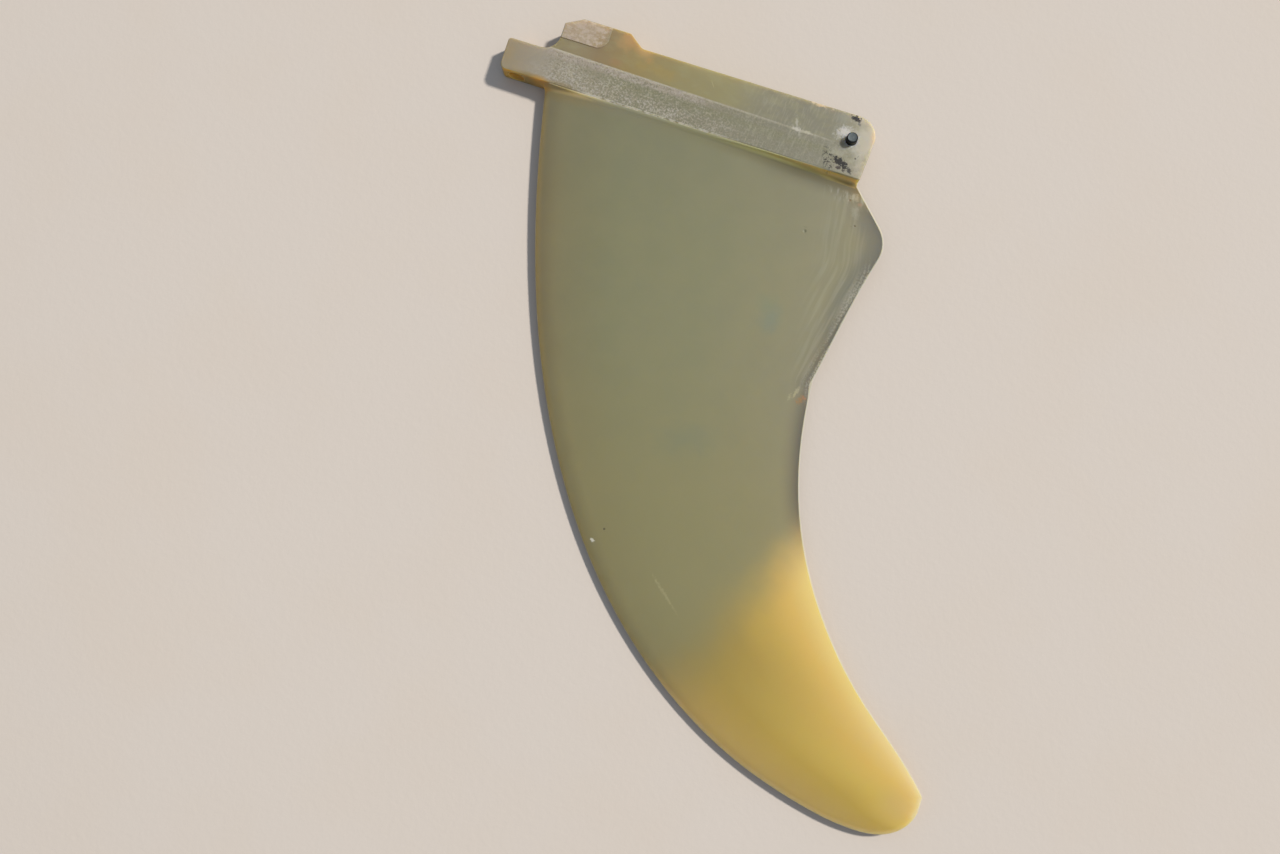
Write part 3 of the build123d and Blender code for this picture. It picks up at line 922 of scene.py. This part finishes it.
@dataclass(frozen=True)
class DullSteel:
    """Steel rod, turned and left bare: grey ends with fine rings, and darker sides."""

    # To the eye: a dull blue-grey end with a painted highlight in its middle, a dark rim and nearly black
    # sides.
    name: str = "bare_steel_turned"
    side: str = "#242627"
    roughness: float = 0.42
    worn_roughness: float = 0.6
    metallic: float = 0.7
    end_depth: tuple[float, float] = (0.35, 0.1)
    dark_end: Wash = Wash("#3C4143", 0.5)
    # Painted highlight in the middle of each end, with brighter flecks.
    middle_highlight: Wash = Wash("#586165", 1.0)
    highlight_reach: tuple[float, float] = (0.25, -0.05)
    highlight_wander: float = 0.45
    highlight_flecks: Wash = Wash("#727C80", 0.5)
    # Turning marks lie 0.05 to 0.1 mm apart. They are drawn 0.6 mm apart, so that they show.
    ring_mm: float = 0.592
    ring_height: float = 0.01
    ring_wobble: float = 1.5
    relief: float = 0.6
    wander: Grain = Grain((1.6, 1.6, 1.6), 0.35, 0.65, shift=4.0)
    flecks: Grain = Grain((0.9, 0.9, 0.9), 0.45, 0.70)
    wear: Grain = Grain((1.0, 1.0, 3.0), 0.40, 0.70, shift=2.0)

    def material(self, half_length: float, flat_radius: float) -> bpy.types.Material:
        """Builds the pin's material.

        Args:
            half_length: half the pin's length, in millimetres.
            flat_radius: the radius of its flat ends, in millimetres.

        Returns:
            The material.
        """
        material, paint = start_material(self.name, self.side, self.roughness)
        end = paint.ramp(paint.off_middle, *(half_length - depth for depth in self.end_depth))
        across = add_node(paint.tree, "ShaderNodeVectorMath", {"operation": "MULTIPLY"},
                          {0: paint.place, 1: (1.0, 1.0, 0.0)})
        from_axis = add_node(paint.tree, "ShaderNodeVectorMath", {"operation": "LENGTH"},
                             {0: across.outputs[0]}).outputs["Value"]
        from_axis = paint.line(paint.grain(self.wander), self.highlight_wander, from_axis)
        highlight_mask = paint.both(end, paint.ramp(from_axis, *(flat_radius + reach for reach in self.highlight_reach)))
        paint.wash(self.dark_end, end)
        paint.wash(self.middle_highlight, highlight_mask)
        paint.wash(self.highlight_flecks, highlight_mask, paint.grain(self.flecks))
        rings = add_node(paint.tree, "ShaderNodeTexWave", {"wave_type": "RINGS", "rings_direction": "Z"},
                         {"Vector": paint.place, "Scale": WAVE_SPAN / self.ring_mm,
                          "Distortion": self.ring_wobble})
        paint.lift(paint.both(rings.outputs["Fac"], end), self.ring_height)
        paint.dull(paint.grain(self.wear), self.worn_roughness)
        paint.finish(self.relief, {Socket.METALLIC: self.metallic})
        return material


@dataclass(frozen=True)
class PaintedFloor:
    """A floor painted cream with a roller, matt and nearly even."""

    # To the eye: a matt cream ground with wide, hardly paler patches and a roller's faint stipple.
    name: str = "cream_floor_paint_rolled"
    ground: str = "#D3CCC5"
    roughness: float = 0.8
    relief: float = 0.5
    stipple_height: float = 0.05
    patch_shade: Wash = Wash("#D2C7BA", 0.25)
    patches: Grain = Grain((90.0, 90.0, 90.0), 0.40, 0.70)
    # A roller's stipple is about 1 mm wide, and is drawn 3 mm wide, so that it shows.
    stipple: Grain = Grain((3.0, 3.0, 3.0), 0.30, 0.70)

    def material(self) -> bpy.types.Material:
        """Builds the floor's material.

        Returns:
            The material.
        """
        material, paint = start_material(self.name, self.ground, self.roughness)
        paint.wash(self.patch_shade, paint.grain(self.patches))
        paint.lift(paint.grain(self.stipple), self.stipple_height)
        paint.finish(self.relief, {})
        return material


@dataclass
class MouldedFin:
    """The fin itself: blade, root, heel, base and nose in one moulded piece."""

    node: str = "fin"
    piece_name: str = "moulded_fin"
    weld: float = 0.002 * MM
    crease_angle: float = math.radians(28.0)
    blade_top_y: float = -20.0 * MM
    steepest_side: float = 0.5
    finish: GlassLaminate = field(default_factory=GlassLaminate)

    def build(self) -> bpy.types.Object:
        """Copies the CAD node, welds it, smooths it and dresses it.

        Returns:
            The finished piece, which stands for the CAD node.
        """
        deselect_all()
        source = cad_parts[self.node]
        piece = source.copy()
        piece.data = source.data.copy()
        piece.name = self.piece_name
        piece.parent = None
        # The copy is a new piece, so it drops the tags that mark a CAD node.
        for key in [key for key in piece.keys() if key.startswith("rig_")]:
            del piece[key]
        bpy.context.scene.collection.objects.link(piece)
        piece.select_set(True)
        bpy.context.view_layer.objects.active = piece
        bpy.ops.mesh.customdata_custom_splitnormals_clear()
        bpy.ops.object.mode_set(mode="EDIT")
        bpy.ops.mesh.select_all(action="SELECT")
        bpy.ops.mesh.remove_doubles(threshold=self.weld)
        bpy.ops.object.mode_set(mode="OBJECT")
        self.measure_edges(piece)
        bpy.ops.object.shade_smooth_by_angle(angle=self.crease_angle)
        piece.data.materials.clear()
        piece.data.materials.append(self.finish.blade_material())
        piece.data.materials.append(self.finish.base_material())
        for face in piece.data.polygons:
            face.material_index = int(face.center.y > self.blade_top_y)
        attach(piece, "root")
        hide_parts(self.node)
        deselect_all()
        return piece

    def measure_edges(self, piece: bpy.types.Object) -> None:
        """Stores how far each vertex lies from the blade's two edges, and which way vertices and faces look.

        Args:
            piece: the welded fin.
        """
        mesh = piece.data
        rims: dict[Measure, list[Vector]] = {Measure.FRONT: [], Measure.REAR: []}
        for face in mesh.polygons:
            if abs(face.normal.z) < self.steepest_side and face.center.y < self.blade_top_y:
                aft_and_up = face.normal.x + face.normal.y
                rim = rims[Measure.REAR if aft_and_up > 0 else Measure.FRONT]
                rim.append(face.center.copy())
                rim.extend(mesh.vertices[index].co.copy() for index in face.vertices)
        for edge, points in rims.items():
            tree = KDTree(len(points))
            for index, point in enumerate(points):
                tree.insert((point.x, point.y, 0.0), index)
            tree.balance()
            layer = mesh.attributes.new(edge.value, "FLOAT", "POINT")
            for index, vertex in enumerate(mesh.vertices):
                layer.data[index].value = tree.find((vertex.co.x, vertex.co.y, 0.0))[2] / MM
        step = mesh.attributes.new(Measure.STEP.value, "FLOAT", "POINT")
        for index, vertex in enumerate(mesh.vertices):
            step.data[index].value = max(0.0, -vertex.normal.y)
        # A face keeps its own value, because a vertex at a rim would spread its value over the flat side.
        side = mesh.attributes.new(Measure.SIDE.value, "FLOAT", "FACE")
        for index, face in enumerate(mesh.polygons):
            side.data[index].value = 1.0 - abs(face.normal.z)


@dataclass
class CrossPin:
    """The pin through the base: a middle that fills its bore, and two slimmer, chamfered free ends."""

    node: str = "cross_pin"
    piece_name: str = "turned_pin"
    middle_radius: float = 2.55 * MM
    end_radius: float = 2.38 * MM
    middle_length: float = 9.0 * MM
    length: float = 16.0 * MM
    chamfer: float = 0.45 * MM
    end_dish: float = 0.05 * MM
    sides: int = 64
    end_normal: float = 0.9
    crease_angle: float = math.radians(30.0)
    finish: DullSteel = field(default_factory=DullSteel)

    def build(self) -> bpy.types.Object:
        """Turns the pin from a rod, step by step, and dresses it.

        Returns:
            The finished piece, which stands for the CAD node.
        """
        deselect_all()
        bpy.ops.mesh.primitive_cylinder_add(vertices=self.sides, radius=self.middle_radius,
                                            depth=self.middle_length)
        piece = bpy.context.object
        piece.name = self.piece_name
        for way in (1.0, -1.0):
            self.turn_end(piece, way)
        bpy.ops.object.shade_smooth_by_angle(angle=self.crease_angle)
        flat_radius = self.end_radius - self.chamfer
        piece.data.materials.append(self.finish.material(self.length / 2 / MM, flat_radius / MM))
        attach(piece, "root")
        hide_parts(self.node)
        deselect_all()
        return piece

    def turn_end(self, piece: bpy.types.Object, way: float) -> None:
        """Shoulders, draws out and chamfers one end of the pin.

        Args:
            piece: the pin's object.
            way: 1 for the end that points up, -1 for the other.
        """
        bpy.ops.object.mode_set(mode="EDIT")
        bpy.ops.mesh.select_mode(type="FACE")
        bpy.ops.mesh.select_all(action="DESELECT")
        bpy.ops.object.mode_set(mode="OBJECT")
        for face in piece.data.polygons:
            face.select = face.normal.z * way > self.end_normal
        bpy.ops.object.mode_set(mode="EDIT")
        bpy.ops.mesh.inset(thickness=self.middle_radius - self.end_radius)
        free_length = (self.length - self.middle_length) / 2
        self.draw_out(way * (free_length - self.chamfer))
        self.draw_out(way * self.chamfer)
        self.narrow((self.end_radius - self.chamfer) / self.end_radius)
        bpy.ops.mesh.inset(thickness=self.chamfer)
        bpy.ops.transform.translate(value=(0.0, 0.0, -way * self.end_dish))
        bpy.ops.object.mode_set(mode="OBJECT")

    def draw_out(self, distance: float) -> None:
        """Extrudes the selected end along the pin."""
        bpy.ops.mesh.extrude_region_move(TRANSFORM_OT_translate={"value": (0.0, 0.0, distance)})

    def narrow(self, share: float) -> None:
        """Scales the selected end across the pin."""
        bpy.ops.transform.resize(value=(share, share, 1.0))


@dataclass
class StudioFloor:
    """The floor that the fin has come to rest on: it touches the pin, the nose's corner and the front edge.

    The fin lies level in its own frame, so the floor slopes under it. Farther out the floor eases down, so
    that a low view from any side looks over it.
    """

    slope_along_x: float = 0.0204
    slope_along_y: float = 0.0205
    side: float = 4.0
    cells: int = 160
    centre: tuple[float, float] = (-0.02, -0.13)
    sloping_reach: float = 0.22
    level_reach: float = 0.80
    level_drop: float = 0.008
    finish: PaintedFloor = field(default_factory=PaintedFloor)

    def build(self) -> bpy.types.Object:
        """Lays the floor under the lowest points of the CAD nodes.

        Returns:
            The floor's object.
        """
        normal = Vector((self.slope_along_x, self.slope_along_y, 1.0)).normalized()
        drop = min(normal.dot(vertex.co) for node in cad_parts.values() for vertex in node.data.vertices)
        deselect_all()
        bpy.ops.mesh.primitive_grid_add(x_subdivisions=self.cells, y_subdivisions=self.cells, size=self.side,
                                        location=(*self.centre, 0.0))
        floor = bpy.context.object
        floor.name = "studio_floor"
        bpy.ops.object.transform_apply(location=True)
        level = self.sloping_height(normal, drop, *self.centre) - self.level_drop
        for vertex in floor.data.vertices:
            away = math.dist(vertex.co.xy, self.centre)
            share = min(1.0, max(0.0, (away - self.sloping_reach) / (self.level_reach - self.sloping_reach)))
            eased = share * share * (3.0 - 2.0 * share)
            slope = self.sloping_height(normal, drop, vertex.co.x, vertex.co.y)
            vertex.co.z = slope * (1.0 - eased) + level * eased
        bpy.ops.object.shade_smooth()
        floor.data.materials.append(self.finish.material())
        deselect_all()
        return floor

    def sloping_height(self, normal: Vector, drop: float, x: float, y: float) -> float:
        """The height of the sloping plane at a place."""
        return (drop - normal.x * x - normal.y * y) / normal.z


@dataclass
class StudioLight:
    """A warm key light from the upper right of the picture, with a pale, even room round it."""

    key_strength: float = 3.2
    key_softness: float = math.radians(6.0)
    key_azimuth: float = math.radians(43.0)
    key_height: float = math.radians(44.0)
    key_hex: str = "#FFF6EA"
    room_hex: str = "#E0E8F4"
    room_strength: float = 0.38

    def build(self) -> None:
        """Adds the key light and sets the room's light."""
        data = bpy.data.lights.new("key_light", "SUN")
        data.angle = self.key_softness
        data.energy = self.key_strength
        data.color = linear(self.key_hex)[:3]
        light = bpy.data.objects.new("key_light", data)
        across = math.cos(self.key_height)
        light.location = (across * math.cos(self.key_azimuth), across * math.sin(self.key_azimuth),
                          math.sin(self.key_height))
        light.rotation_euler = (-light.location).to_track_quat("-Z", "Y").to_euler()
        bpy.context.scene.collection.objects.link(light)
        world = bpy.data.worlds.new("studio_room")
        world.use_nodes = True
        background = world.node_tree.nodes["Background"]
        background.inputs["Color"].default_value = linear(self.room_hex)
        background.inputs["Strength"].default_value = self.room_strength
        bpy.context.scene.world = world


@dataclass
class PhotoCamera:
    """The camera above the fin, nearly straight down, as in the photograph."""

    place: tuple[float, float, float] = (-0.0345, -0.1885, 0.475)
    tilt: float = math.radians(5.5)
    turn: float = math.radians(17.84)
    sensor_mm: float = 36.0
    focal_px: float = 1130.0
    image_width_px: float = 1280.0
    nearest: float = 0.01

    def build(self) -> bpy.types.Object:
        """Adds the camera and makes it the scene's own.

        Returns:
            The camera's object.
        """
        data = bpy.data.cameras.new("photo_camera")
        data.sensor_width = self.sensor_mm
        data.lens = self.sensor_mm * self.focal_px / self.image_width_px
        data.clip_start = self.nearest
        camera = bpy.data.objects.new("photo_camera", data)
        camera.location = self.place
        camera.rotation_euler = (self.tilt, 0.0, self.turn)
        bpy.context.scene.collection.objects.link(camera)
        bpy.context.scene.camera = camera
        return camera


def main() -> None:
    """Builds every piece in order."""
    logging.basicConfig(level=logging.INFO, format="%(name)s: %(message)s")
    bpy.context.scene.view_settings.view_transform = "Standard"
    PhotoCamera().build()
    StudioLight().build()
    for maker in (StudioFloor(), MouldedFin(), CrossPin()):
        piece = maker.build()
        LOG.info("%s: %d faces", piece.name, len(piece.data.polygons))


if __name__ == "__main__":
    main()
